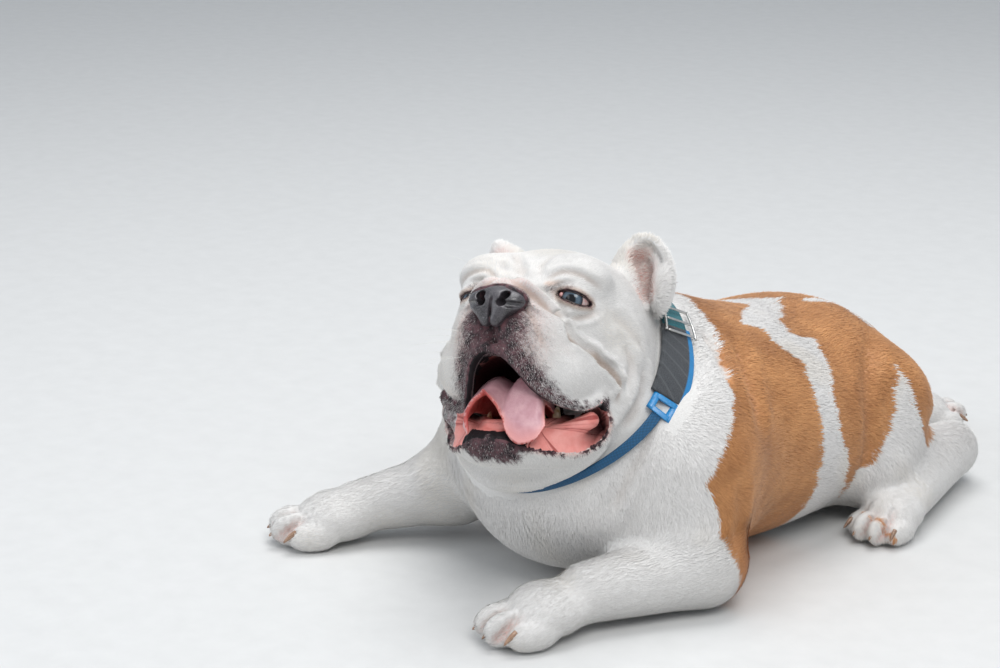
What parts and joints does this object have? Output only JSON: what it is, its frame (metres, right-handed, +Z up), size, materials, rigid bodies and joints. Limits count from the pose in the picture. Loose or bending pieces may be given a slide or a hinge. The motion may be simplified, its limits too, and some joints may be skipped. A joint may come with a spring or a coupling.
{
  "type": "english bulldog",
  "caption": "Life-size English bulldog lying on its chest, head up and mouth open, white coat with tan patches, wearing a webbing collar.",
  "frame": {"origin": "centre of the bounding box on the floor plane", "axes": "+Z up, -Y the way the dog's chest faces, +X towards the dog's left side"},
  "size_m": [0.4336, 0.7568, 0.2974],
  "materials": {
    "coat": "short dense fur, white with tan patches",
    "nose_leather": "damp grey-black nose and dark lips",
    "mouth_lining": "wet pink gum and lip lining",
    "tongue": "wet mauve-pink",
    "teeth": "slightly glossy ivory",
    "eye": "wet, pale blue iris",
    "claw": "brown horn, satin",
    "whisker": "pale fine bristle",
    "teal_webbing": "woven webbing",
    "grey_webbing": "quilted woven padding",
    "blue_plastic": "moulded plastic and blue strap",
    "metal": "worn satin steel"
  },
  "bodies": {
    "root": {"head": "coat", "jaw": "coat", "ear_left": "coat", "ear_right": "coat", "neck": "coat", "torso": "coat", "tail": "coat", "foreleg_left": "coat", "foreleg_right": "coat", "hindleg_left": "coat", "hindleg_right": "coat", "eye_left": "eye", "eye_right": "eye", "tongue": "tongue", "collar_strap": "teal_webbing", "collar_band_left": "grey_webbing", "collar_band_right": "grey_webbing", "collar_cord": "blue_plastic", "collar_buckle_left": "blue_plastic", "collar_buckle_right": "blue_plastic", "collar_slide": "metal", "claw_fore_left_1": "claw", "claw_fore_left_2": "claw", "claw_fore_left_3": "claw", "claw_fore_left_4": "claw", "claw_fore_right_1": "claw", "claw_fore_right_2": "claw", "claw_fore_right_3": "claw", "claw_fore_right_4": "claw", "claw_hind_left_1": "claw", "claw_hind_left_2": "claw", "claw_hind_left_3": "claw", "claw_hind_left_4": "claw", "claw_hind_right_1": "claw", "claw_hind_right_2": "claw", "claw_hind_right_3": "claw", "claw_hind_right_4": "claw"}
  },
  "joints": []
}
